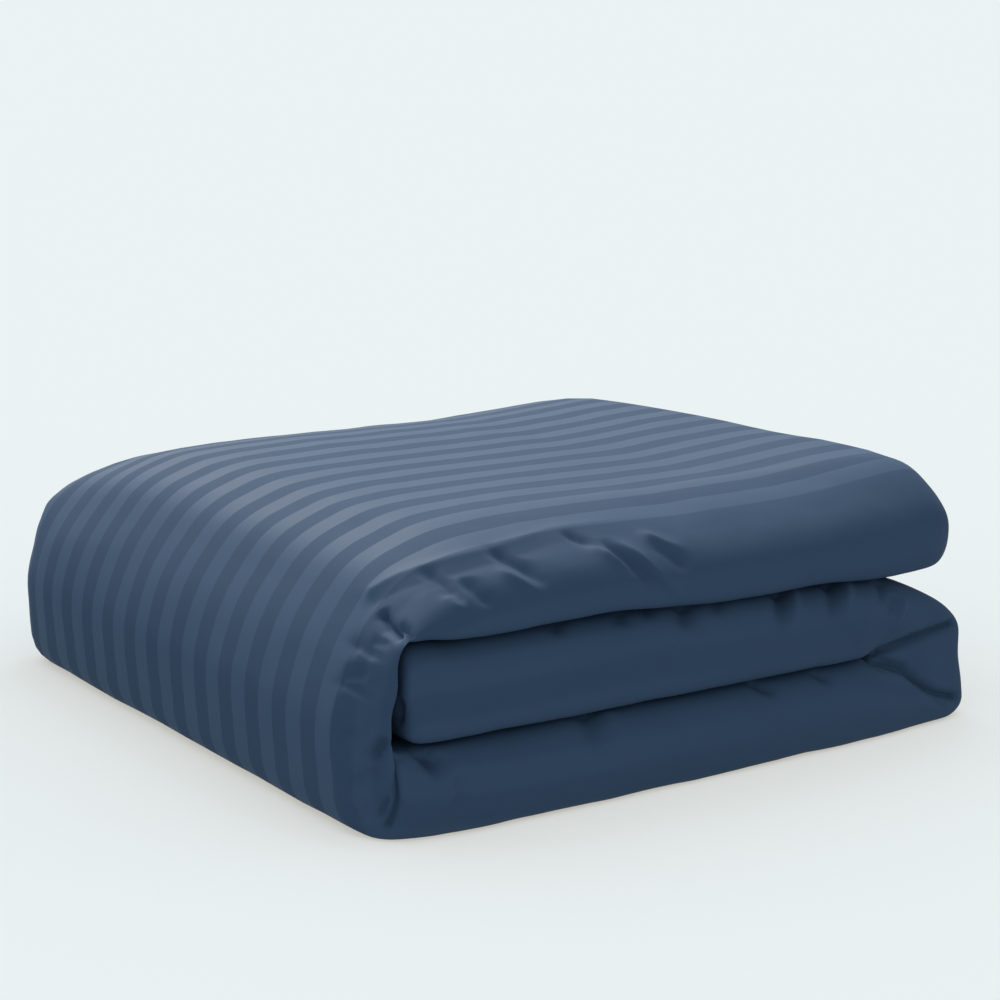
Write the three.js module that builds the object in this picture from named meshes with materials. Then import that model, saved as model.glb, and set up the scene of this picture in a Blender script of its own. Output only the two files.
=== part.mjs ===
import * as THREE from "three";

// A filled duvet in its striped cover, folded in half along its length and then in three.
// From its free inner end the fold runs to the right as the middle layer, turns down and back
// as the bottom layer, climbs the left side as the wrap, and ends as the top layer.
// Sizes are millimetres. X and Y are counted from the front left corner of the stack, Z from
// the surface that it rests on. The finished mesh is then centred on its own box.

// Driving sizes
const backEdge = 741;
const stackHeight = 241;
const layerGap = 3;
const lowerSeam = 77.5;
const leftBulge = -22;
const rightBulge = 667;
const coverColour = 0x3f5672;

// Steps around one section: along its outer and its inner skin, both crowded towards the front,
// and round its front and back edges
const outerSteps = 3;
const innerSteps = 1;
const frontSteps = 12;
const backSteps = 4;
const crowding = 1.4;

const backFall = { fromY: 560, toY: 645, fromZ: 120, toZ: 225, drop: 11 };
const leafGroove = 9;
const grooveReach = 0.35;

// The upper seam isn't level: its height along the front
const upperSeam = [
  { x: -40, z: 164 },
  { x: 35, z: 165 },
  { x: 60, z: 163 },
  { x: 94, z: 159.5 },
  { x: 134, z: 161 },
  { x: 196, z: 162 },
  { x: 262, z: 162 },
  { x: 286, z: 165 },
  { x: 306, z: 157.5 },
  { x: 330, z: 156 },
  { x: 445, z: 156 },
  { x: 500, z: 153.5 },
  { x: 550, z: 150.5 },
  { x: 660, z: 148 },
];

function smooth(low, high, value) {
  const t = Math.min(Math.max((value - low) / (high - low), 0), 1);
  return t * t * (3 - 2 * t);
}

function seamHeight(x) {
  const next = upperSeam.findIndex((place) => place.x > x);
  if (next === -1) {
    return upperSeam[upperSeam.length - 1].z;
  }
  const a = upperSeam[Math.max(next - 1, 0)];
  const b = upperSeam[next];
  return a.z + (b.z - a.z) * smooth(a.x, b.x, x);
}

const middleTop = (x) => seamHeight(x) - layerGap / 2;
const topUnder = (x) => seamHeight(x) + layerGap / 2;
const bottomTop = lowerSeam - layerGap / 2;
const middleUnder = lowerSeam + layerGap / 2;

// One row for each station along the fold, at mid width.
// outX, outZ: the skin on the outer side of the fold. inX, inZ: the skin on its inner side.
// front: how far the rounded front edge stands back. roundOut, roundIn: how deep its rounding
// is on either side. softOut, softIn: how soft that is, where 1 is an ellipse, less is squarer
// and 2 is a straight slope. apex: where it is fullest, from 0 inner to 1 outer.
// roundBack: how deep the rounding of the outer skin is at the back.
// steps: the sections drawn from this row to the next.
const columns = [
  "run", "outX", "outZ", "inX", "inZ", "front", "roundOut", "softOut", "roundIn", "softIn",
  "apex", "roundBack", "steps",
];
const fold = [
  ["middle", 18, 132, 18, 108, 22, 10, 0.7, 10, 0.7, 0.5, 16, 1],
  ["middle", 19, 148, 19, 92, 10, 18, 0.8, 12, 0.7, 0.45, 18, 1],
  ["middle", 26, middleTop(26) - 3, 26, middleUnder + 3, 3, 28, 0.9, 16, 0.65, 0.4, 20, 1],
  ["middle", 46, middleTop(46), 46, middleUnder, 0, 34, 0.9, 18, 0.65, 0.36, 22, 2],
  ["middle", 80, middleTop(80), 80, middleUnder, -1, 36, 0.9, 18, 0.65, 0.36, 22, 4],
  ["middle", 250, middleTop(250), 250, middleUnder, -3, 36, 0.9, 18, 0.65, 0.36, 24, 4],
  ["middle", 400, middleTop(400), 400, middleUnder, -4, 36, 0.9, 18, 0.65, 0.36, 24, 6],
  ["middle", 505, middleTop(505), 505, middleUnder, -3, 36, 0.9, 18, 0.65, 0.4, 24, 4],
  ["middle", 562, middleTop(562) - 2, 522, middleUnder, 0, 34, 0.9, 16, 0.65, 0.48, 26, 2],
  ["turn", 604, 132, 532, 84, 2, 28, 0.8, 14, 0.65, 0.6, 30, 2],
  ["turn", 641, 111, 537, 81, 4, 24, 0.7, 12, 0.65, 0.6, 34, 1],
  ["turn", 660, 91, 539, 79.5, 5, 24, 0.7, 12, 0.65, 0.6, 36, 1],
  ["turn", 662, 60, 539, 77.5, 5, 24, 0.7, 12, 0.65, 0.6, 36, 2],
  ["turn", rightBulge, 28, 538, 75.5, 4, 24, 0.7, 12, 0.65, 0.6, 34, 1],
  ["turn", 663, 9, 535, 75, 1, 22, 0.7, 16, 0.7, 0.6, 30, 1],
  ["bottom", 640, 0, 526, bottomTop, -2, 20, 0.65, 22, 0.8, 0.6, 28, 1],
  ["bottom", 604, 0, 518, bottomTop, -4, 20, 0.65, 28, 0.85, 0.62, 26, 2],
  ["bottom", 545, 0, 500, bottomTop, -8, 18, 0.65, 34, 0.9, 0.64, 22, 4],
  ["bottom", 400, 0, 400, bottomTop, -10, 18, 0.65, 36, 0.9, 0.64, 20, 3],
  ["bottom", 250, 0, 250, bottomTop, -10, 18, 0.65, 36, 0.9, 0.64, 20, 3],
  ["bottom", 110, 0, 110, bottomTop, -8, 18, 0.65, 34, 0.9, 0.62, 20, 4],
  ["bottom", 50, 0, 58, bottomTop, -4, 20, 0.7, 26, 0.8, 0.56, 24, 2],
  ["wrap", 8, 0, 22, bottomTop, 2, 26, 0.9, 16, 0.7, 0.4, 32, 2],
  ["wrap", -8, 4, 12, bottomTop + 1, 5, 36, 1.3, 14, 0.65, 0.25, 44, 1],
  ["wrap", -17, 16, 8, 82, 7, 46, 1.7, 12, 0.65, 0.12, 56, 2],
  ["wrap", -20, 44, 6, 90, 8, 52, 1.85, 11, 0.65, 0.1, 66, 3],
  ["wrap", leftBulge, 86, 7, 108, 8, 54, 1.85, 11, 0.65, 0.1, 74, 3],
  ["wrap", -17, 116, 12, 132, 8, 56, 1.85, 11, 0.65, 0.1, 84, 3],
  ["wrap", -4, 150, 13, 152, 8, 60, 1.8, 11, 0.65, 0.15, 100, 3],
  ["wrap", 16, 181, 19, topUnder(19) - 1, 6, 70, 1.6, 12, 0.65, 0.2, 122, 2],
  ["top", 40, 208, 38, topUnder(38), 5, 88, 1.35, 14, 0.65, 0.25, 140, 3],
  ["top", 72, 225, 70, topUnder(70), 3, 116, 1.15, 14, 0.65, 0.28, 148, 4],
  ["top", 120, 237, 118, topUnder(118), 2, 130, 1.15, 14, 0.65, 0.3, 150, 6],
  ["top", 220, stackHeight, 220, topUnder(220), 0, 130, 1.15, 14, 0.65, 0.3, 150, 7],
  ["top", 350, stackHeight, 350, topUnder(350), -2, 130, 1.15, 14, 0.65, 0.3, 150, 2],
  ["top", 470, stackHeight, 470, topUnder(470), -2, 126, 1.15, 14, 0.65, 0.3, 150, 2],
  ["top", 560, 240, 560, topUnder(560), 0, 104, 1.15, 14, 0.65, 0.34, 140, 2],
  ["top", 608, 235, 608, 152, 3, 78, 1.1, 18, 0.7, 0.42, 110, 2],
  ["top", 632, 216, 630, 157, 12, 48, 1, 20, 0.8, 0.5, 60, 1],
  ["top", 639, 198, 637, 173, 24, 22, 0.8, 20, 0.8, 0.5, 30, 0],
].map((row) => Object.fromEntries(columns.map((name, i) => [name, row[i]])));

// The free end of the top layer is full: it rises and reaches out behind its corners
const endFull = { fromX: 430, toX: 640, fromY: -20, toY: 120, rise: 16, reach: 29 };

function between(a, b, c, d, t) {
  const slopeIn = (c - a) / 2;
  const slopeOut = (d - b) / 2;
  const value = THREE.MathUtils.lerp(b, c, t * t * (3 - 2 * t))
    + slopeIn * t * (1 - t) ** 2 - slopeOut * t * t * (1 - t);
  return THREE.MathUtils.clamp(value, Math.min(b, c), Math.max(b, c));
}

function foldStations() {
  const list = [];
  const last = fold.length - 1;
  fold.forEach((row, i) => {
    const before = fold[Math.max(i - 1, 0)];
    const next = fold[Math.min(i + 1, last)];
    const after = fold[Math.min(i + 2, last)];
    const count = Math.max(row.steps, 1);
    for (let k = 0; k < count; k += 1) {
      const station = { run: row.run };
      columns.slice(1).forEach((name) => {
        station[name] = between(before[name], row[name], next[name], after[name], k / count);
      });
      list.push(station);
    }
  });
  return list;
}

// A quarter of a rounded edge, from its fullest place at 0 to the flat skin at 1
function edgeQuarter(t, soft) {
  const angle = (t * Math.PI) / 2;
  return { inset: 1 - Math.cos(angle) ** soft, rise: Math.sin(angle) ** soft };
}

// One section as points of y across the stack and level through it, 0 inner skin to 1 outer
function sectionOutline(station) {
  const { front, roundOut, softOut, roundIn, softIn, roundBack, apex } = station;
  const back = backEdge - front;
  const points = [];
  const flat = (from, to, steps, level) => {
    for (let i = 0; i <= steps; i += 1) {
      const step = from < to ? i : steps - i;
      const near = Math.min(from, to);
      const reach = Math.abs(to - from) * (step / steps) ** crowding;
      points.push({ y: near + reach, level });
    }
  };
  const edge = (steps, place) => {
    for (let i = 1; i < steps; i += 1) {
      points.push(place((2 * i) / steps - 1));
    }
  };
  flat(back - roundBack, front + roundOut, outerSteps, 1);
  edge(frontSteps, (t) => {
    const outer = t < 0;
    const { inset, rise } = edgeQuarter(Math.abs(t), outer ? softOut : softIn);
    const level = outer ? apex + (1 - apex) * rise : apex * (1 - rise);
    return { y: front + (outer ? roundOut : roundIn) * inset, level };
  });
  flat(front + roundIn, back - roundIn, innerSteps, 0);
  edge(backSteps, (t) => {
    const outer = t > 0;
    const { inset, rise } = edgeQuarter(Math.abs(t), outer ? 1 : softIn);
    const groove = leafGroove * Math.max(0, 1 - Math.abs(t) / grooveReach);
    const y = back - (outer ? roundBack : roundIn) * inset - groove;
    return { y, level: 0.5 + 0.5 * rise * Math.sign(t) };
  });
  return points;
}

function foldPoint(station, { y, level }) {
  const x = station.inX + (station.outX - station.inX) * level;
  const z = station.inZ + (station.outZ - station.inZ) * level;
  const point = new THREE.Vector3(x, y, z);
  if (station.run !== "middle") {
    const raised = smooth(backFall.fromZ, backFall.toZ, station.outZ) * level;
    point.z -= backFall.drop * smooth(backFall.fromY, backFall.toY, y) * raised;
  }
  if (station.run === "top") {
    const { fromX, toX, fromY, toY, rise, reach } = endFull;
    const full = smooth(fromX, toX, x) * smooth(fromY, toY, y) * smooth(fromY, toY, backEdge - y);
    point.x += full * reach;
    point.z += full * rise * level;
  }
  return point;
}

// Folds pressed into the front of the stack, each along a line from one place to another.
// width: how far it spreads to either side. height: a ridge above 0, a trough below.
const creaseColumns = ["run", "x", "y", "z", "toX", "toY", "toZ", "width", "height"];
const creases = [
  ["wrap", 20, 46, 182, 20, 21, 173, 12, -12],
  ["top", 22, 46, 184, 22, 20, 175, 12, -9],
  ["top", 29, 31, 175, 26, 12, 171, 11, -6],
  ["wrap", 2, 67, 158, 5, 23, 152, 12, -4],
  ["wrap", -13, 64, 126, -1, 20, 124, 12, -5],
  ["wrap", -7, 26, 104, 5, 8, 114, 12, -4],
  ["wrap", -18, 46, 88, -5, 19, 97, 12, -4],
  ["wrap", -6, 23, 74, 0, 13, 89, 11, -6],
  ["wrap", -13, 44, 49, 0, 16, 66, 12, -5],
  ["wrap", 7, 22, 12, 13, 13, 75, 11, -6],
  ["bottom", 36, 8, 74, 44, -4, 48, 12, -12],
  ["bottom", 206, 0, 70, 212, -10, 42, 15, -5],
  ["bottom", 396, 0, 72, 408, -8, 58, 15, -6],
  ["bottom", 533, 2, 70, 563, -4, 48, 13, -4],
  ["top", 67, 55, 213, 73, 15, 195, 13, -6],
  ["top", 130, 54, 224, 151, 13, 204, 14, -7],
  ["top", 148, 40, 222, 170, 8, 198, 14, 3],
  ["top", 190, 60, 231, 222, 16, 206, 14, -5],
  ["top", 226, 36, 217, 244, 10, 202, 14, 4],
  ["top", 238, 34, 218, 283, 0, 174, 14, -7],
  ["middle", 416, -4, 108, 443, 8, 146, 14, 5],
  ["middle", 430, -4, 113, 456, 5, 141, 13, -5],
  ["middle", 490, -3, 107, 508, 7, 143, 13, 5],
  ["middle", 544, 1, 90, 572, 2, 126, 13, 5],
  ["middle", 237, 0, 95, 257, -3, 122, 15, -4],
  ["turn", 545, 5, 80, 640, 4, 90, 12, -9],
  ["turn", 555, 4, 66, 645, 3, 20, 12, -9],
].map((row) => Object.fromEntries(creaseColumns.map((name, i) => [name, row[i]])));

const creaseLines = creases.map(({ run, x, y, z, toX, toY, toZ, width, height }) => {
  const line = new THREE.Line3(new THREE.Vector3(x, y, z), new THREE.Vector3(toX, toY, toZ));
  return { run, width, height, line };
});

// The ridges and troughs that reach a point, each kind counted once where its lines join
function creaseHeight(run, point) {
  const nearest = new THREE.Vector3();
  let ridge = 0;
  let trough = 0;
  creaseLines.filter((crease) => crease.run === run).forEach(({ line, width, height }) => {
    line.closestPointToPoint(point, true, nearest);
    const lift = height * Math.exp(-((nearest.distanceTo(point) / width) ** 2));
    ridge = Math.max(ridge, lift);
    trough = Math.min(trough, lift);
  });
  return ridge + trough;
}

const sections = foldStations().map((station) => ({
  run: station.run,
  points: sectionOutline(station).map((place) => foldPoint(station, place)),
}));

// The skin between the sections, and a closing face at each free end of the fold
function skin(rings) {
  const ring = rings[0].length;
  const places = rings.flat();
  const faces = [];
  for (let i = 0; i + 1 < rings.length; i += 1) {
    for (let k = 0; k < ring; k += 1) {
      const a = i * ring + k;
      const b = i * ring + ((k + 1) % ring);
      const c = b + ring;
      const d = a + ring;
      faces.push([a, b, d], [b, c, d]);
    }
  }
  const frontTip = outerSteps + frontSteps / 2;
  const half = ring / 2;
  const closeEnd = (base, turned) => {
    for (let k = 0; k < half; k += 1) {
      const a = base + ((frontTip - k + ring) % ring);
      const b = base + ((frontTip - k - 1 + ring) % ring);
      const c = base + ((frontTip + k) % ring);
      const d = base + ((frontTip + k + 1) % ring);
      const pair = [[a, c, b], [b, c, d]].filter((face) => new Set(face).size === 3);
      faces.push(...pair.map((face) => (turned ? face.reverse() : face)));
    }
  };
  closeEnd(0, true);
  closeEnd((rings.length - 1) * ring, false);
  const geometry = new THREE.BufferGeometry();
  const numbers = places.flatMap((point) => point.toArray());
  geometry.setAttribute("position", new THREE.Float32BufferAttribute(numbers, 3));
  geometry.setIndex(faces.flat());
  geometry.computeVertexNormals();
  return geometry;
}

// Each point of the plain fold moves along its own normal by the height of its creases
function pressCreases() {
  const normals = skin(sections.map(({ points }) => points)).getAttribute("normal");
  const normal = new THREE.Vector3();
  let index = 0;
  return sections.map(({ run, points }) => points.map((point) => {
    normal.fromBufferAttribute(normals, index);
    index += 1;
    return point.clone().addScaledVector(normal, creaseHeight(run, point));
  }));
}

const geometry = skin(pressCreases());
geometry.computeBoundingBox();
const { min, max } = geometry.boundingBox;
const material = new THREE.MeshStandardMaterial({ color: coverColour, roughness: 0.62, metalness: 0 });
const duvet = new THREE.Mesh(geometry, material);
duvet.name = "duvet_cover";
duvet.position.set(-(min.x + max.x) / 2, -(min.y + max.y) / 2, -min.z);

const part = new THREE.Group();
part.add(duvet);
export default part;
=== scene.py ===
from math import atan2, ceil, cos, exp, hypot, pi, radians, sin

import bmesh
import bpy
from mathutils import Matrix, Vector, noise
from mathutils.bvhtree import BVHTree
from mathutils.kdtree import KDTree


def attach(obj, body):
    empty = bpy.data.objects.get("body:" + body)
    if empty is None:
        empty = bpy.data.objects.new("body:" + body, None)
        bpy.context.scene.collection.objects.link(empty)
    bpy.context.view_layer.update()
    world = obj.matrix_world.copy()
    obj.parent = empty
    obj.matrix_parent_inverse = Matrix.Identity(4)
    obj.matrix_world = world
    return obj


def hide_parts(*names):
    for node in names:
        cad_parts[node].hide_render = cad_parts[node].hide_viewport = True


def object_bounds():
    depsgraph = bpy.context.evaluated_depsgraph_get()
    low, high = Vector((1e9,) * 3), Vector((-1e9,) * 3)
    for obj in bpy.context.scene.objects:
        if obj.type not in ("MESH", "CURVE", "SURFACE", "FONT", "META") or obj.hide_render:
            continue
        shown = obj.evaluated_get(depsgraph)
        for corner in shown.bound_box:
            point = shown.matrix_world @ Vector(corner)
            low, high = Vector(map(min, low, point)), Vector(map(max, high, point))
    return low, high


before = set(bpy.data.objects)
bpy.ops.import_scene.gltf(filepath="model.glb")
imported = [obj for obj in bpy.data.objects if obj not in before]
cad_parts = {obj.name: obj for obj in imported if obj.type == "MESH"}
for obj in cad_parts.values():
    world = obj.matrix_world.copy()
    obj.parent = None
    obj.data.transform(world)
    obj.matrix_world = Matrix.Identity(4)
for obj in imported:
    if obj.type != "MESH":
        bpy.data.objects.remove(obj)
cadLow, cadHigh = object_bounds()
scene = bpy.context.scene
print("frame loaded:", sorted(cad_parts))


# The folded duvet. Millimetres: x and y are counted from the stack's front left corner and z
# from the floor, so that low x is the side that the fold wraps round and low y is the front.
duvet = {
    "backEdge": 741,
    "topHeight": 241,
    "layerGap": 2.2,
    "lowerSeam": 77.5,
    "leftBulge": -22,        # where the CAD box starts in x
    "frontBulge": -10,       # and in y
    "rightBulge": 667,
    "outerPoints": 8,        # on the outer skin of a section, crowded to the front
    "frontPoints": 39,       # round its front edge
    "innerPoints": 3,
    "backPoints": 3,         # from either skin into the groove at the back
    "crowding": 1.3,
    "backSoftness": (1, 0.65),   # of the outer and the inner skin's edge at the back
    "groove": 9,             # between the two leaves at the back
    "grooveReach": 0.4,
    "mergeDistance": 0.001,  # between points of the two end sections that fall together
    "creaseStep": 3,         # between the places where a crease is laid onto the cloth
    "lookFrom": 700,         # in front of the stack's corner
    "lookInto": 200,         # behind it
    "creaseReach": 3,        # how many widths away a crease still tells
    "creaseCrispness": 1.5,  # 2 is a soft round groove, 1 a sharp line
    "fadeFrom": 0.2,         # along a crease that dies away towards its last place
    "fadeEnds": (0.3, 0.6),  # and along one that does so towards both ends
    "hiddenFade": 30,        # how fast the unevenness fades between the layers
    "smoothing": 1,
    "paintedSheenTurn": (48, 62),      # y where the satin's painted sheen fades as the cloth turns to the front
    "frontPaintedSheen": (0.5, 0.2),  # what is left of its painted sheen there, at the left and at the right
    "paintedSheenFall": (100, 450),   # x between which it goes from the one to the other
}
unevenness = [(95, 1.5), (42, 0.7), (19, 0.22)]  # wavelength and height
backFall = {"fromY": 560, "toY": 645, "fromZ": 120, "toZ": 225, "drop": 11}
endFull = {"fromX": 430, "toX": 640, "fromY": -20, "toY": 120, "rise": 16, "reach": 29}

upperSeam = [  # the seam between the top and the middle layer isn't level: x, z
    (-40, 164), (35, 165), (60, 163), (94, 159.5), (134, 161), (196, 162), (262, 162), (286, 165),
    (306, 157.5), (330, 156), (397, 156), (445, 156), (500, 153.5), (550, 150.5), (660, 148),
]


def smooth(low, high, value):
    t = min(max((value - low) / (high - low), 0), 1)
    return t * t * (3 - 2 * t)


def seamHeight(x):
    for (x0, z0), (x1, z1) in zip(upperSeam, upperSeam[1:]):
        if x <= x1:
            return z0 + (z1 - z0) * smooth(x0, x1, x)
    return upperSeam[-1][1]


def middleTop(x):
    return seamHeight(x) - duvet["layerGap"] / 2


def topUnder(x):
    return seamHeight(x) + duvet["layerGap"] / 2


bottomTop = duvet["lowerSeam"] - duvet["layerGap"] / 2
middleUnder = duvet["lowerSeam"] + duvet["layerGap"] / 2
topHeight = duvet["topHeight"]
rightBulge = duvet["rightBulge"]
leftBulge = duvet["leftBulge"]

# One row for each station along the fold, at mid width. out and in are its two skins. front is how
# far the rounded front edge stands back, roundOut and roundIn how deep it is rounded on either
# side and softOut and softIn how soft that is: less than 1 is squarer, 1 an ellipse, 2 a slope.
# apex is where the edge is fullest, from 0 inner to 1 outer, and roundBack the rounding at the
# back. spacing is the step between the sections from this row to the next, on the outer skin.
columns = ("run outX outZ inX inZ front roundOut softOut roundIn softIn apex roundBack "
           "spacing").split()
foldRows = [dict(zip(columns, row)) for row in [
    ("middle", 17, 120, 17, 120, 30, 12, .7, 12, .7, .5, 12, 5),
    ("middle", 18, 132, 18, 108, 22, 10, .7, 10, .7, .5, 16, 5),
    ("middle", 19, 148, 19, 92, 10, 18, .8, 12, .7, .45, 18, 5),
    ("middle", 26, middleTop(26) - 3, 26, middleUnder + 3, 3, 28, .9, 16, .65, .4, 20, 5),
    ("middle", 46, middleTop(46), 46, middleUnder, 0, 34, .9, 18, .65, .36, 22, 7),
    ("middle", 80, middleTop(80), 80, middleUnder, -1, 36, .9, 18, .65, .36, 22, 8),
    ("middle", 250, middleTop(250), 250, middleUnder, -3, 36, .9, 18, .65, .36, 24, 7),
    ("middle", 400, middleTop(400), 400, middleUnder, -4, 36, .9, 18, .65, .36, 24, 5),
    ("middle", 505, middleTop(505), 505, middleUnder, -3, 36, .9, 18, .65, .4, 24, 5),
    ("middle", 562, middleTop(562) - 2, 522, middleUnder, 0, 34, .9, 16, .65, .48, 26, 5),
    ("turn", 604, 132, 532, 84, 2, 28, .8, 14, .65, .6, 30, 4.4),
    ("turn", 641, 111, 537, 81, 4, 24, .7, 12, .65, .6, 34, 4.4),
    ("turn", 660, 91, 539, 79.5, 5, 24, .7, 12, .65, .6, 36, 4.4),
    ("turn", 662, 60, 539, 77.5, 5, 24, .7, 12, .65, .6, 36, 4.4),
    ("turn", rightBulge, 28, 538, 75.5, 4, 24, .7, 12, .65, .6, 34, 4.4),
    ("turn", 663, 9, 535, 75, 1, 22, .7, 16, .7, .6, 30, 4.4),
    ("bottom", 640, 0, 526, bottomTop, -2, 20, .65, 22, .8, .6, 28, 5),
    ("bottom", 604, 0, 518, bottomTop, -4, 20, .65, 28, .85, .62, 26, 6),
    ("bottom", 545, 0, 500, bottomTop, -8, 18, .65, 34, .9, .64, 22, 7),
    ("bottom", 400, 0, 400, bottomTop, -10, 18, .65, 36, .9, .64, 20, 7.5),
    ("bottom", 250, 0, 250, bottomTop, -10, 18, .65, 36, .9, .64, 20, 7),
    ("bottom", 110, 0, 110, bottomTop, -8, 18, .65, 34, .9, .62, 20, 5),
    ("bottom", 50, 0, 58, bottomTop, -4, 20, .7, 26, .8, .56, 24, 3.6),
    ("wrap", 8, 0, 22, bottomTop, 2, 26, .9, 16, .7, .4, 32, 3.4),
    ("wrap", -8, 4, 12, bottomTop + 1, 5, 36, 1.3, 14, .65, .25, 44, 3.4),
    ("wrap", -17, 16, 8, 82, 7, 46, 1.7, 12, .65, .12, 56, 3.4),
    ("wrap", -20, 44, 6, 90, 8, 52, 1.85, 11, .65, .1, 66, 3.4),
    ("wrap", leftBulge, 86, 7, 108, 8, 54, 1.85, 11, .65, .1, 74, 3.4),
    ("wrap", -17, 116, 12, 132, 8, 56, 1.85, 11, .65, .1, 84, 3.4),
    ("wrap", -4, 150, 13, 152, 8, 60, 1.8, 11, .65, .15, 100, 3.4),
    ("wrap", 16, 181, 19, topUnder(19) - 1, 6, 70, 1.6, 12, .65, .2, 122, 3.4),
    ("top", 40, 208, 38, topUnder(38), 5, 88, 1.35, 14, .65, .25, 140, 3.6),
    ("top", 72, 225, 70, topUnder(70), 3, 116, 1.15, 14, .65, .28, 148, 3.8),
    ("top", 120, 237, 118, topUnder(118), 2, 130, 1.15, 14, .65, .3, 150, 3.8),
    ("top", 220, topHeight, 220, topUnder(220), 0, 130, 1.15, 14, .65, .3, 150, 4),
    ("top", 350, topHeight, 350, topUnder(350), -2, 130, 1.15, 14, .65, .3, 150, 8),
    ("top", 470, topHeight, 470, topUnder(470), -2, 126, 1.15, 14, .65, .3, 150, 8),
    ("top", 560, 240, 560, topUnder(560), 0, 104, 1.15, 14, .65, .34, 140, 6),
    ("top", 608, 235, 608, 152, 3, 78, 1.1, 18, .7, .42, 110, 4),
    ("top", 632, 216, 630, 157, 12, 48, 1, 20, .8, .5, 60, 4),
    ("top", 639, 198, 637, 173, 24, 22, .8, 20, .8, .5, 30, 4),
    ("top", 640, 186, 640, 186, 32, 20, .8, 20, .8, .5, 20, 4),
]]
stripeDrift = {"middle": -16, "turn": 5, "bottom": 21, "wrap": 0, "top": 5}  # across the stack
driftReach = 14  # stations
runNames = ["middle", "turn", "bottom", "wrap", "top"]


def between(a, b, c, d, t):
    # a smooth value from b to c that never leaves them
    value = b + (c - b) * t * t * (3 - 2 * t)
    value += (c - a) / 2 * t * (1 - t) ** 2 - (d - b) / 2 * t * t * (1 - t)
    return min(max(value, min(b, c)), max(b, c))


def foldStations():
    stations = []
    last = len(foldRows) - 1
    for i, row in enumerate(foldRows[:-1]):
        before, following, after = foldRows[max(i - 1, 0)], foldRows[i + 1], foldRows[min(i + 2, last)]
        step = hypot(following["outX"] - row["outX"], following["outZ"] - row["outZ"])
        count = max(1, ceil(step / row["spacing"]))
        for k in range(count):
            station = {"run": row["run"]}
            for name in columns[1:-1]:
                station[name] = between(before[name], row[name], following[name], after[name], k / count)
            stations.append(station)
    stations.append(dict(foldRows[-1]))
    return stations


def quarterRound(t, soft):
    # inset and rise along a rounded edge, from its fullest place at 0 to the flat skin at 1
    angle = t * pi / 2
    return 1 - cos(angle) ** soft, sin(angle) ** soft


def evenly(places, count):
    # count places at even distances along a line of flat places
    travel = [0]
    for a, b in zip(places, places[1:]):
        travel.append(travel[-1] + (b - a).length)
    picked = []
    i = 0
    for k in range(count):
        goal = travel[-1] * k / (count - 1)
        while i < len(places) - 2 and travel[i + 1] < goal:
            i += 1
        share = (goal - travel[i]) / max(travel[i + 1] - travel[i], 1e-9)
        picked.append(places[i].lerp(places[i + 1], share))
    return picked


def sectionOutline(station):
    # y across the stack, level through it (0 inner skin, 1 outer) and how far behind the front
    # edge, from the groove at the back over the outer skin, round the front and along the inner
    front, apex = station["front"], station["apex"]
    roundOut, roundIn, roundBack = station["roundOut"], station["roundIn"], station["roundBack"]
    back = duvet["backEdge"] - front
    thickness = hypot(station["outX"] - station["inX"], station["outZ"] - station["inZ"]) + 1e-6

    def flat(near, far, count, level):
        reach = [(far - near) * (i / (count - 1)) ** duvet["crowding"] for i in range(count)]
        return [(near + r, level, r) for r in reach]

    def backEdge(depth, soft, side):
        places = []
        for i in range(duvet["backPoints"] + 1):
            t = i / duvet["backPoints"]
            inset, rise = quarterRound(t, soft)
            groove = duvet["groove"] * max(0, 1 - t / duvet["grooveReach"])
            places.append((back - depth * inset - groove, .5 + .5 * rise * side, 0))
        return places

    edge = []
    fineSteps = 48
    for i in range(2 * fineSteps + 1):
        t = i / fineSteps - 1
        depth, soft = (roundOut, station["softOut"]) if t < 0 else (roundIn, station["softIn"])
        inset, rise = quarterRound(abs(t), soft)
        level = apex + (1 - apex) * rise if t < 0 else apex * (1 - rise)
        edge.append(Vector((front + depth * inset, level * thickness)))
    edge = [(y, level / thickness, 0) for y, level in evenly(edge, duvet["frontPoints"])]

    softOut, softIn = duvet["backSoftness"]
    outline = backEdge(roundBack, softOut, 1)[:-1]
    outline += flat(front + roundOut, back - roundBack, duvet["outerPoints"], 1)[:0:-1]
    outline += edge
    outline += flat(front + roundIn, back - roundIn, duvet["innerPoints"], 0)[1:]
    outline += backEdge(roundIn, softIn, -1)[-2::-1]
    return outline


def foldPlace(station, y, level):
    x = station["inX"] + (station["outX"] - station["inX"]) * level
    z = station["inZ"] + (station["outZ"] - station["inZ"]) * level
    place = Vector((x, y, z))
    if station["run"] != "middle":
        raised = smooth(backFall["fromZ"], backFall["toZ"], station["outZ"]) * level
        place.z -= backFall["drop"] * smooth(backFall["fromY"], backFall["toY"], y) * raised
    if station["run"] == "top":
        near, far = endFull["fromY"], endFull["toY"]
        full = smooth(endFull["fromX"], endFull["toX"], x) * smooth(near, far, y)
        full *= smooth(near, far, duvet["backEdge"] - y)
        place.x += full * endFull["reach"]
        place.z += full * endFull["rise"] * level
    return place


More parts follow.
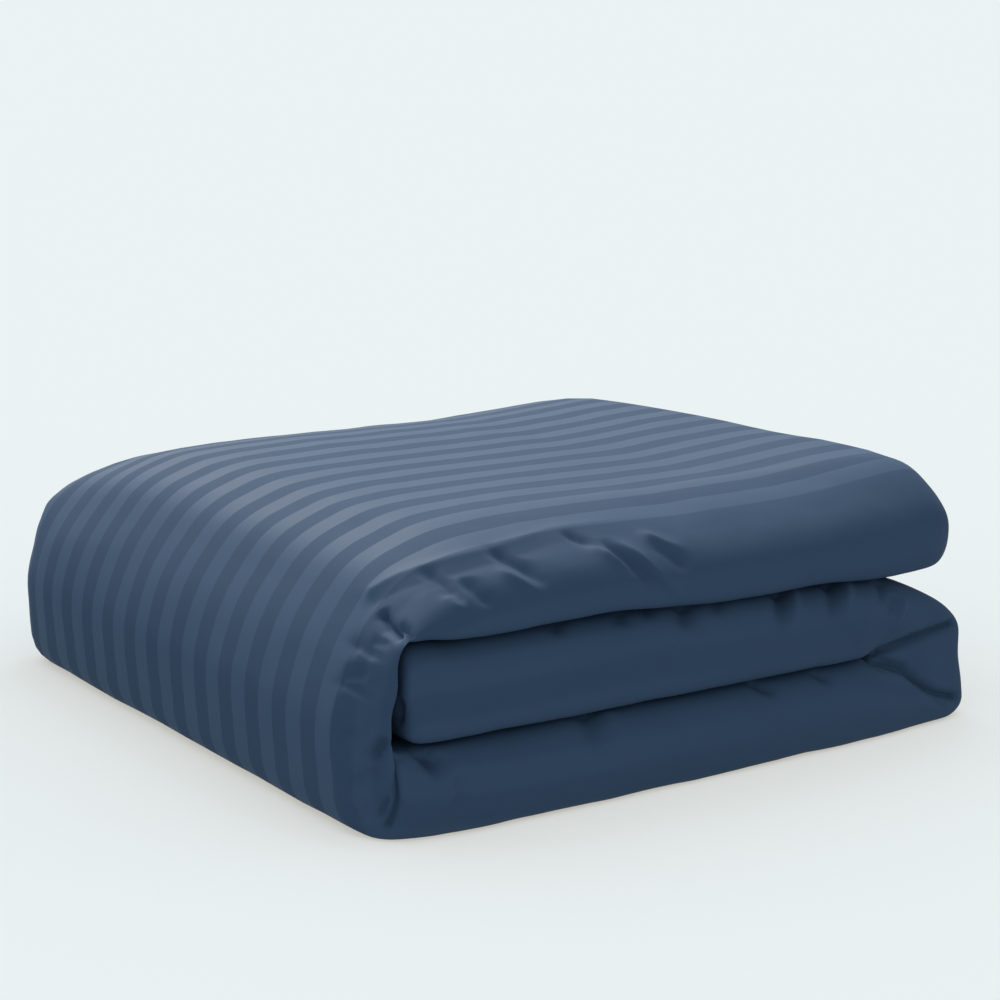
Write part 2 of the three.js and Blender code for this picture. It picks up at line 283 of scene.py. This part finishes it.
# Folds pressed into the front of the stack. width is how far a fold spreads to either side,
# height is a ridge above 0 and a trough below, and fade how it dies away: 0 not at all, 1 towards
# its last place, 2 towards both ends. These are drawn as they show from the front, in x and z.
frontCreases = [
    # the bottom layer
    ("bottom wrap", [(35, 74), (40, 64), (46, 46)], 7, -14, 1),
    ("bottom wrap", [(40, 75), (45, 68), (46, 53)], 5, -7, 1),
    ("bottom", [(54, 68), (55, 46), (50, 16)], 6, 5, 2),
    ("bottom", [(60, 60), (59, 43), (55, 20)], 6, -3, 2),
    ("bottom", [(203, 75), (200, 60), (196, 34)], 10, -7, 1),
    ("bottom", [(225, 73), (227, 46)], 8, 3, 1),
    ("bottom", [(394, 74), (404, 67), (412, 60)], 6, -7, 1),
    # under the upper seam, and the middle layer
    ("middle", [(179, 161), (167, 150)], 7, -4, 1),
    ("middle", [(244, 159), (233, 148)], 7, -4, 1),
    ("middle", [(274, 160), (264, 149)], 7, -3, 1),
    ("middle", [(312, 156), (296, 134)], 10, -8, 1),
    ("middle", [(350, 155), (338, 143)], 8, -3, 1),
    ("middle", [(286, 128), (272, 115)], 7, 2.5, 2),
    ("middle", [(427, 155), (418, 142), (406, 118)], 9, -9, 1),
    ("middle", [(443, 153), (436, 145), (427, 132), (416, 113)], 5.5, 4.5, 1),
    ("middle", [(490, 152), (480, 138), (470, 116)], 9, -8, 1),
    ("middle", [(508, 150), (498, 139), (490, 122)], 5.5, 4.5, 1),
    ("middle", [(524, 122), (512, 109), (499, 94)], 6, 3, 2),
    ("middle", [(549, 145), (542, 135), (536, 124)], 8, -5, 1),
    ("middle", [(574, 133), (563, 118), (554, 104), (544, 92)], 5, 4.5, 2),
    ("middle", [(560, 138), (553, 126), (547, 116)], 5, -4, 2),
    # the turn at the right, gathered into a gusset
    ("turn middle", [(526, 77), (552, 82), (585, 88), (611, 91), (624, 93), (646, 95)], 4.5, -10, 0),
    ("turn middle", [(598, 92), (611, 97), (626, 105)], 4, -5, 1),
    ("turn bottom middle", [(528, 77), (553, 68), (573, 61), (591, 47), (605, 37), (621, 29),
                            (648, 21)], 4.5, -10, 0),
    ("turn bottom", [(573, 61), (586, 51), (607, 35), (622, 20), (634, 5)], 4, -5, 2),
    ("turn bottom", [(533, 74), (546, 65), (563, 54)], 5, -5, 1),
    ("bottom", [(466, 72), (479, 61)], 6, -5, 1),
]
# And these as they show from the left front corner, a little from above
cornerCreases = [
    # the pinch where the wrap meets the top layer
    ("wrap top", [(-10, 189), (-5, 181), (4, 175)], 5, -7, 0),
    ("wrap top", [(6, 180), (10, 178), (14, 173)], 4.5, -5, 0),
    # the wrap's front, from its top to the floor
    ("wrap top", [(-24, 167), (-12, 167), (2, 168)], 6, -1.5, 2),
    ("wrap top", [(-44, 171), (-32, 163), (-20, 157), (-4, 152)], 7, -3, 2),
    ("wrap", [(-36, 162), (-24, 155), (-8, 148)], 6, 2.5, 2),
    ("wrap", [(-53, 137), (-42, 131), (-28, 126), (-8, 121)], 7, -3.5, 2),
    ("wrap", [(-50, 132), (-36, 125), (-18, 117)], 6, 2.5, 2),
    ("wrap", [(-52, 132), (-36, 139), (-14, 147)], 8, -2.5, 2),
    ("wrap", [(-26, 136), (-10, 137), (6, 141)], 6, -2, 2),
    ("wrap", [(-28, 101), (-12, 108), (4, 116)], 8, -3.5, 2),
    ("wrap", [(-48, 91), (-30, 93), (-10, 99)], 7, -3, 2),
    ("wrap", [(-46, 84), (-28, 86), (-12, 88)], 7, 2, 2),
    ("wrap", [(-22, 70), (-15, 79), (-8, 89), (-4, 95)], 5.5, -7, 2),
    ("wrap", [(-42, 49), (-24, 59), (-5, 69)], 6, -4, 2),
    ("wrap", [(-44, 34), (-30, 25), (-20, 30), (-12, 42)], 6, -2.5, 2),
    ("wrap bottom", [(-16, 20), (-9, 34), (-2, 49)], 4.5, -6, 2),
    ("wrap bottom", [(-6, 16), (-1, 28), (3, 38), (2, 60), (3, 74)], 5, -9, 0),
    ("middle", [(4, 126), (3, 112), (2, 98)], 6, -7, 2),
    # the edge where the top layer turns down to the front, and the folds that start from it
    ("top wrap", [(-20, 209), (-9, 216), (3, 222), (18, 227), (44, 234), (73, 241), (99, 248),
                  (129, 257), (169, 263), (210, 268), (248, 272)], 7, 2.6, 1),
    ("top wrap", [(-18, 199), (-6, 206), (6, 211), (22, 216), (48, 223), (76, 230), (102, 237),
                  (131, 246), (170, 252), (210, 257), (248, 262)], 9, -1.6, 1),
    ("top wrap", [(16, 228), (28, 222), (40, 214), (52, 202), (60, 192)], 8, -5, 2),
    ("top wrap", [(40, 209), (50, 199), (62, 190)], 6, 3, 2),
    ("top", [(50, 222), (62, 213), (77, 200), (86, 190)], 8, -5, 2),
    ("top", [(68, 247), (80, 240), (92, 233), (106, 226), (120, 216), (130, 206)], 8, -6, 2),
    ("top", [(80, 228), (92, 221), (104, 215), (118, 206), (126, 198)], 6.5, 3.5, 2),
    ("top", [(136, 256), (150, 250), (168, 243), (182, 234)], 7, -4.5, 2),
    ("top", [(156, 249), (170, 241), (188, 231), (202, 222)], 6.5, 4, 2),
    ("top", [(168, 251), (186, 240), (206, 225), (224, 209), (240, 193)], 8, -6, 2),
    ("top", [(180, 251), (194, 243), (208, 233), (226, 216), (238, 204), (252, 193)], 6.5, 4.5, 2),
    ("top", [(204, 256), (218, 250), (240, 242), (252, 236)], 7, 3.5, 2),
    ("top", [(214, 248), (230, 240), (246, 227), (256, 216)], 9, -5, 2),
]
creaseViews = [  # what is drawn, and which way is right and up in it
    (frontCreases, Vector((1, 0, 0)), Vector((0, 0, 1))),
    (cornerCreases, Vector((.825, -.565, 0)), Vector((.108, .158, .981))),
]


def layLine(cloth, places, right, up):
    # the line of a fold, laid onto the cloth from where it is seen
    away = up.cross(right).normalized()
    start, reach = away * duvet["lookFrom"], duvet["lookFrom"] + duvet["lookInto"]
    line = []
    for (a0, b0), (a1, b1) in zip(places, places[1:]):
        count = ceil(hypot(a1 - a0, b1 - b0) / duvet["creaseStep"])
        for k in range(min(len(line), 1), count + 1):
            spot = right * (a0 + (a1 - a0) * k / count) + up * (b0 + (b1 - b0) * k / count)
            hit = cloth.ray_cast(spot - start, away, reach)[0]
            if hit:
                line.append(hit)
    return line


def distanceTo(line, place):
    # distance to a line of places, and how far along it the nearest place is, from 0 to 1
    best = (1e9, 0)
    for i, (a, b) in enumerate(zip(line, line[1:])):
        step = b - a
        t = min(max((place - a).dot(step) / (step.length_squared + 1e-9), 0), 1)
        best = min(best, ((a + step * t - place).length, (i + t) / (len(line) - 1)))
    return best


def creaseStrength(fade, t):
    # t is 0 at a crease's first place and 1 at its last
    if fade == 0:
        return 1
    if fade == 1:
        return 1 - smooth(duvet["fadeFrom"], 1, t)
    grown, falling = duvet["fadeEnds"]
    return smooth(0, grown, t) * (1 - smooth(falling, 1, t))


def creaseLifts(bm, runOf):
    # how far each point of the cloth rises in the ridges and sinks in the troughs
    cloth = BVHTree.FromBMesh(bm)
    points = KDTree(len(bm.verts))
    for vert in bm.verts:
        points.insert(vert.co, vert.index)
    points.balance()
    ridges, troughs = [0] * len(bm.verts), [0] * len(bm.verts)
    lines = [(*crease, right, up) for creases, right, up in creaseViews for crease in creases]
    for runs, places, width, height, fade, right, up in lines:
        line = layLine(cloth, places, right, up)
        middle = (line[0] + line[-1]) / 2
        far = max((place - middle).length for place in line) + duvet["creaseReach"] * width
        for place, i, reach in points.find_range(middle, far):
            if runOf[i] not in runs.split():
                continue
            distance, t = distanceTo(line, place)
            lift = height * creaseStrength(fade, t)
            lift *= exp(-(distance / width) ** duvet["creaseCrispness"])
            ridges[i] = max(ridges[i], lift)
            troughs[i] = min(troughs[i], lift)
    return [ridge + trough for ridge, trough in zip(ridges, troughs)]


def unevenHeight(run, level, behind, place):
    # soft hollows and swells, none where the layers lie on each other
    lift = sum(height * noise.noise(place / wave) for wave, height in unevenness)
    if level < 1 or run in ("middle", "bottom"):
        lift *= 1 - smooth(0, duvet["hiddenFade"], behind)
    return lift


corner = Vector((cadLow.x - leftBulge / 1000, cadLow.y - duvet["frontBulge"] / 1000, 0))
stations = foldStations()
outlines = [sectionOutline(station) for station in stations]
rings = [[foldPlace(station, y, level) for y, level, behind in outline]
         for station, outline in zip(stations, outlines)]
ringCount = len(rings[0])
print("sections:", len(rings), "points round each:", ringCount)


# Where the cloth's threads run: metres along the fold and across it. Across is y on the outer
# skin and goes on by the length of the cloth round the edges, so the stripes keep their width,
# and they drift a little from layer to layer, because nobody folds a duvet quite straight.
def clothPlaces():
    outerMiddle = duvet["backPoints"] + duvet["outerPoints"] // 2
    along = 0
    places = []
    for i, ring in enumerate(rings):
        if i:
            along += (ring[outerMiddle] - rings[i - 1][outerMiddle]).length
        near = stations[max(i - driftReach, 0):i + driftReach + 1]
        drift = sum(stripeDrift[station["run"]] for station in near) / len(near)
        across = [0] * ringCount
        across[outerMiddle] = ring[outerMiddle].y + drift
        for k in range(outerMiddle + 1, ringCount):
            across[k] = across[k - 1] - (ring[k] - ring[k - 1]).length
        for k in range(outerMiddle - 1, -1, -1):
            across[k] = across[k + 1] + (ring[k + 1] - ring[k]).length
        places.append([(along / 1000, value / 1000) for value in across])
    return places


def plainFold():
    # the smooth fold as a mesh, in millimetres, with its cloth map, and where each point lies:
    # its run, its level between the skins and how far it is behind the front edge
    threads = clothPlaces()
    bm = bmesh.new()
    bmesh.ops.create_grid(bm, x_segments=len(rings) - 1, y_segments=ringCount - 1, size=0.5)
    uvLayer = bm.loops.layers.uv.new("cloth")
    layers = [bm.verts.layers.float.new(name) for name in ("run", "level", "behind")]
    spot = {}
    for vert in bm.verts:
        i = round((vert.co.x + .5) * (len(rings) - 1))
        k = round((vert.co.y + .5) * (ringCount - 1))
        spot[vert] = (i, k)
        vert.co = rings[i][k]
        values = (runNames.index(stations[i]["run"]), outlines[i][k][1], outlines[i][k][2])
        for layer, value in zip(layers, values):
            vert[layer] = value
    for face in bm.faces:
        for loop in face.loops:
            i, k = spot[loop.vert]
            loop[uvLayer].uv = threads[i][k]
    bmesh.ops.remove_doubles(bm, verts=bm.verts, dist=duvet["mergeDistance"])
    bmesh.ops.recalc_face_normals(bm, faces=bm.faces)
    mesh = bpy.data.meshes.new("folded_duvet")
    bm.to_mesh(mesh)
    bm.free()
    return mesh


def paintedSheenAt(place):
    # painted sheen: the satin keeps its lighter colour where the cloth faces up, and little of it where
    # the cloth turns to the front, less still towards the right
    frontFacing = 1 - smooth(*duvet["paintedSheenTurn"], place.y)
    left, right = duvet["frontPaintedSheen"]
    return 1 - frontFacing * (1 - left - (right - left) * smooth(*duvet["paintedSheenFall"], place.x))


def pressFolds(mesh):
    # presses the creases and the unevenness into the fine mesh and brings it to its place
    bm = bmesh.new()
    bm.from_mesh(mesh)
    bm.verts.ensure_lookup_table()
    bm.normal_update()
    layers = [bm.verts.layers.float[name] for name in ("run", "level", "behind")]
    spots = [[vert[layer] for layer in layers] for vert in bm.verts]
    runOf = [runNames[round(run)] for run, level, behind in spots]
    lifts = creaseLifts(bm, runOf)
    for i, (run, level, behind) in enumerate(spots):
        lifts[i] += unevenHeight(runOf[i], level, behind, bm.verts[i].co)
    normals = [vert.normal.copy() for vert in bm.verts]
    # painted sheen: how much of the satin's lighter colour each place keeps, stored for the material
    paintedSheen = bm.verts.layers.float.new("paintedSheen")
    for vert in bm.verts:
        vert[paintedSheen] = paintedSheenAt(vert.co)
    for vert, normal, lift in zip(bm.verts, normals, lifts):
        vert.co = (vert.co + normal * lift) / 1000 + corner
        vert.co.z = max(vert.co.z, 0)
    for name in ("run", "level", "behind"):
        bm.verts.layers.float.remove(bm.verts.layers.float[name])
    bm.to_mesh(mesh)
    bm.free()


def makeDuvet():
    piece = bpy.data.objects.new("folded_duvet", plainFold())
    scene.collection.objects.link(piece)
    finer = piece.modifiers.new("finer", "SUBSURF")
    finer.levels = finer.render_levels = duvet["smoothing"]
    with bpy.context.temp_override(object=piece):
        bpy.ops.object.modifier_apply(modifier="finer")
    pressFolds(piece.data)
    piece.data.shade_smooth()
    print("duvet:", len(piece.data.vertices), "places,", len(piece.data.polygons), "faces")
    return piece


folded = makeDuvet()


# Shader values as Python numbers: a signal wraps a socket, and maths on it adds Math nodes.
class Signal:
    def __init__(self, tree, socket):
        self.tree = tree
        self.socket = socket

    def add(self, kind, settings=None, inputs=None, output=0):
        # any node: its type, its settings, and the values or signals of its sockets
        node = self.tree.nodes.new(kind)
        for name, value in (settings or {}).items():
            setattr(node, name, value)
        for name, value in (inputs or {}).items():
            if isinstance(value, Signal):
                self.tree.links.new(value.socket, node.inputs[name])
            else:
                node.inputs[name].default_value = value
        return Signal(self.tree, node.outputs[output])

    def maths(self, operation, *others):
        values = {0: self, **{i + 1: other for i, other in enumerate(others)}}
        return self.add("ShaderNodeMath", {"operation": operation}, values)

    def reflected(self, operation, other):
        return self.add("ShaderNodeMath", {"operation": operation}, {0: other, 1: self})

    def __add__(self, other):
        return self.maths("ADD", other)

    def __radd__(self, other):
        return self.maths("ADD", other)

    def __sub__(self, other):
        return self.maths("SUBTRACT", other)

    def __rsub__(self, other):
        return self.reflected("SUBTRACT", other)

    def __mul__(self, other):
        return self.maths("MULTIPLY", other)

    def __rmul__(self, other):
        return self.maths("MULTIPLY", other)

    def __truediv__(self, other):
        return self.maths("DIVIDE", other)

    def ramp(self, low, high):
        # a smooth step from 0 to 1
        values = {"Value": self, "From Min": low, "From Max": high}
        return self.add("ShaderNodeMapRange", {"interpolation_type": "SMOOTHSTEP"}, values)

    def mixColours(self, first, second):
        # this signal is the factor
        mixed = self.add("ShaderNodeMix", {"data_type": "RGBA"})
        node = mixed.socket.node
        self.tree.links.new(self.socket, node.inputs["Factor"])
        for socket, value in ((node.inputs[6], first), (node.inputs[7], second)):
            if isinstance(value, Signal):
                self.tree.links.new(value.socket, socket)
            else:
                socket.default_value = (*value, 1)
        return Signal(self.tree, node.outputs[2])


def newMaterial(name):
    material = bpy.data.materials.new(name)
    material.use_nodes = True
    tree = material.node_tree
    shader = next(node for node in tree.nodes if node.type == "BSDF_PRINCIPLED")
    return material, tree, shader


# Cotton with satin stripes: the satin's floating threads catch more light than the plain ground, so the
# satin's lighter colour is partly painted sheen, which fades on the front.
cotton = {
    "repeat": 0.0497,            # metres from one satin stripe to the next
    "firstSatin": 0.075,         # y of the stripe nearest the front edge
    "satinShare": 0.5,
    "satinEdge": 0.0006,         # how soft the stripe's edge looks where the painted sheen is full
    "fadedSheenEdge": 0.009,           # and where it is faded
    "ground": (0.0272, 0.052, 0.096),
    # the satin stripe's colour: a real stripe, lighter than the ground partly from painted sheen
    "satinSheen": (0.0325, 0.0625, 0.1135),
    "groundRoughness": 0.8,
    "satinRoughness": 0.65,
    "specular": 0.06,
    "satinGloss": 0.03,
    "glossIor": 1.3,
    "glossRoughness": 0.6,
    "threadPitch": 0.0006,
    "weaveDepth": 0.00003,
    "weaveStrength": 0.5,
    "threadShare": 0.5,          # of the crossing threads in the weave's relief
    "slubShare": 0.8,            # and of the thick places in the yarn
    "slubPerMetre": (40, 900),   # thick places along the fold and across it
    "cloudPerMetre": 9,          # soft patches of shade
    "slubShade": 0.06,
    "slubRoughness": 0.08,
}


def stripedCotton():
    material, tree, shader = newMaterial("striped_cotton")
    start = Signal(tree, None)
    cloth = start.add("ShaderNodeUVMap", {"uv_map": "cloth"})
    parts = cloth.add("ShaderNodeSeparateXYZ", inputs={"Vector": cloth})
    along, across = parts, Signal(tree, parts.socket.node.outputs[1])
    turns = (across - cotton["firstSatin"]) / cotton["repeat"]
    fromStripe = turns.maths("PINGPONG", .5) * cotton["repeat"]
    halfStripe = cotton["satinShare"] * cotton["repeat"] / 2
    # painted sheen: the satin stripes, a real pattern, keep their lighter colour, roughness and gloss
    # only as far as this attribute allows
    paintedSheen = start.add("ShaderNodeAttribute", {"attribute_name": "paintedSheen"}, output=2)
    soft = cotton["fadedSheenEdge"] + paintedSheen * (cotton["satinEdge"] - cotton["fadedSheenEdge"])
    satinSheen = (1 - fromStripe.ramp(halfStripe - soft, halfStripe + soft)) * paintedSheen

    slubAlong, slubAcross = cotton["slubPerMetre"]
    slubSpot = {"X": along * slubAlong, "Y": across * slubAcross}
    slubPlace = along.add("ShaderNodeCombineXYZ", inputs=slubSpot)
    slub = along.add("ShaderNodeTexNoise", inputs={"Vector": slubPlace, "Scale": 1.0, "Detail": 3.0})
    cloudSpot = {"X": along * cotton["cloudPerMetre"], "Y": across * cotton["cloudPerMetre"]}
    cloudPlace = along.add("ShaderNodeCombineXYZ", inputs=cloudSpot)
    cloud = along.add("ShaderNodeTexNoise", inputs={"Vector": cloudPlace, "Scale": 1.0, "Detail": 2.0})
    colour = satinSheen.mixColours(cotton["ground"], cotton["satinSheen"])
    shade = 1 + (slub - .5) * cotton["slubShade"] + (cloud - .5) * cotton["slubShade"]
    grey = {"Red": shade, "Green": shade, "Blue": shade}
    shadeColour = along.add("ShaderNodeCombineColor", inputs=grey)
    tinted = along.add("ShaderNodeMix", {"data_type": "RGBA", "blend_type": "MULTIPLY"})
    node = tinted.socket.node
    node.inputs["Factor"].default_value = 1
    tree.links.new(colour.socket, node.inputs[6])
    tree.links.new(shadeColour.socket, node.inputs[7])
    tree.links.new(node.outputs[2], shader.inputs["Base Color"])

    change = cotton["satinRoughness"] - cotton["groundRoughness"]
    rough = cotton["groundRoughness"] + satinSheen * change + (slub - .5) * cotton["slubRoughness"]
    tree.links.new(rough.socket, shader.inputs["Roughness"])

    warp = (along / cotton["threadPitch"] * 2 * pi).maths("SINE")
    weft = (across / cotton["threadPitch"] * 2 * pi).maths("SINE")
    weave = warp * weft * cotton["threadShare"] + slub * cotton["slubShare"]
    relief = {"Strength": cotton["weaveStrength"], "Distance": cotton["weaveDepth"], "Height": weave}
    bump = along.add("ShaderNodeBump", inputs=relief)
    tree.links.new(bump.socket, shader.inputs["Normal"])
    gloss = satinSheen * cotton["satinGloss"]
    tree.links.new(gloss.socket, shader.inputs["Coat Weight"])
    shader.inputs["Coat Roughness"].default_value = cotton["glossRoughness"]
    shader.inputs["Coat IOR"].default_value = cotton["glossIor"]
    shader.inputs["Specular IOR Level"].default_value = cotton["specular"]
    return material


folded.data.materials.append(stripedCotton())
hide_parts("duvet_cover")
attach(folded, "root")
print("cotton done")


# A seamless pale studio: a very wide floor, half of it glowing evenly, under a pale sky, and
# one soft key light high behind the stack that shines on the cloth alone.
studio = {
    "floorRadius": 60,
    "floorSides": 96,
    "floorColour": (0.457, 0.518, 0.592),
    "floorRoughness": 0.9,
    "floorGlow": (0.451, 0.428, 0.366),  # what it keeps in the shade, a little warm
    "sky": (0.831, 0.888, 0.896),
    "keyFrom": (0.1, 0.66, 0.745),
    "keyStrength": 6.3,
    "keyAngle": 25,
    "keyColour": (1.0, 0.88, 0.78),
}


def makeFloor():
    bm = bmesh.new()
    sides, radius = studio["floorSides"], studio["floorRadius"]
    bmesh.ops.create_circle(bm, cap_ends=True, segments=sides, radius=radius)
    mesh = bpy.data.meshes.new("studio_floor")
    bm.to_mesh(mesh)
    bm.free()
    floor = bpy.data.objects.new("studio_floor", mesh)
    scene.collection.objects.link(floor)
    material, tree, shader = newMaterial("pale_floor")
    shader.inputs["Base Color"].default_value = (*studio["floorColour"], 1)
    shader.inputs["Roughness"].default_value = studio["floorRoughness"]
    shader.inputs["Specular IOR Level"].default_value = 0
    shader.inputs["Emission Color"].default_value = (*studio["floorGlow"], 1)
    shader.inputs["Emission Strength"].default_value = 1
    mesh.materials.append(material)
    return floor


makeFloor()

world = bpy.data.worlds.new("studio_sky")
scene.world = world
world.use_nodes = True
world.node_tree.nodes["Background"].inputs["Color"].default_value = (*studio["sky"], 1)

keyData = bpy.data.lights.new("key", "SUN")
keyData.energy = studio["keyStrength"]
keyData.angle = radians(studio["keyAngle"])
keyData.color = studio["keyColour"]
key = bpy.data.objects.new("key", keyData)
key.rotation_euler = (-Vector(studio["keyFrom"])).to_track_quat("-Z", "Y").to_euler()
scene.collection.objects.link(key)
clothOnly = bpy.data.collections.new("lit_cloth")
clothOnly.objects.link(folded)
key.light_linking.receiver_collection = clothOnly

# The camera stands where the photograph was taken from, with the same view.
view = {
    "fromCorner": (-0.87109, -1.42414, 0.61408),  # metres from the stack's front left corner
    "heading": (0.565, 0.825),
    "down": 11.0465,                              # degrees
    "lens": 78.0,
    "sensor": 36,
}
cameraData = bpy.data.cameras.new("camera")
cameraData.lens = view["lens"]
cameraData.sensor_width = view["sensor"]
camera = bpy.data.objects.new("camera", cameraData)
camera.location = corner + Vector(view["fromCorner"])
headingX, headingY = view["heading"]
camera.rotation_euler = (radians(90 - view["down"]), 0, -atan2(headingX, headingY))
scene.collection.objects.link(camera)
scene.camera = camera
scene.view_settings.view_transform = "Standard"

print("size of the CAD:", [round(v, 4) for v in cadHigh - cadLow])
